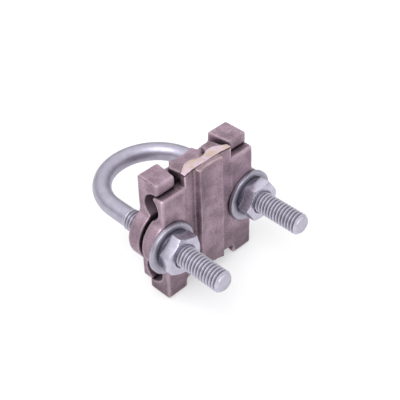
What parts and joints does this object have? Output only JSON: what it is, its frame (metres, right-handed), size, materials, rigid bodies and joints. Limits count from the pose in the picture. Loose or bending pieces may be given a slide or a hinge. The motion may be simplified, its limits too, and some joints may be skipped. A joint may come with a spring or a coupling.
{
  "type": "grounding clamp",
  "caption": "U-bolt grounding clamp whose two interlocking bronze castings grip an earth cable, parallel or crosswise, against a pipe or ground rod.",
  "frame": {"origin": "axis of the round space inside the bend of the U-bolt, level with its legs, where the pipe's axis lies", "axes": "+Z along the pipe, +X from the left leg to the right leg, +Y from the nuts towards the bend"},
  "size_m": [0.0687, 0.0915, 0.06],
  "materials": {
    "bronze": "sand cast bronze, tumbled, its ends ground bright",
    "bolt_steel": "plain bent bar with rolled thread",
    "washer_steel": "stamped and plated",
    "spring_steel": "dark spring steel",
    "nut_steel": "turned and plated"
  },
  "bodies": {
    "nut_side": {"nut_side_casting": "bronze", "flat_washer_left": "washer_steel", "flat_washer_right": "washer_steel", "spring_washer_left": "spring_steel", "spring_washer_right": "spring_steel"},
    "left_nut": {"hex_nut_left": "nut_steel"},
    "right_nut": {"hex_nut_right": "nut_steel"},
    "bolt": {"u_bolt": "bolt_steel"},
    "pipe_side": {"pipe_side_casting": "bronze"}
  },
  "joints": [
    {"name": "bolt_draw", "type": "slide", "parent": "nut_side", "child": "bolt", "axis": [0, 1, 0], "range_m": [-0.012, 0.02]},
    {"name": "left_nut_turn", "type": "hinge", "parent": "nut_side", "child": "left_nut", "pos_m": [-0.02275, -0.04, 0], "axis": [0, -1, 0], "range_deg": [-2721.3, 4535.5]},
    {"name": "right_nut_turn", "type": "hinge", "parent": "nut_side", "child": "right_nut", "pos_m": [0.02275, -0.04, 0], "axis": [0, -1, 0], "range_deg": [-2721.3, 4535.5]},
    {"name": "pipe_side_slide", "type": "slide", "parent": "nut_side", "child": "pipe_side", "axis": [0, 1, 0], "range_m": [-0.0015, 0.008]}
  ],
  "couplings": [
    {"joint": "left_nut_turn", "follows": "bolt_draw", "rad_per_m": 3957.9},
    {"joint": "right_nut_turn", "follows": "bolt_draw", "rad_per_m": 3957.9}
  ]
}
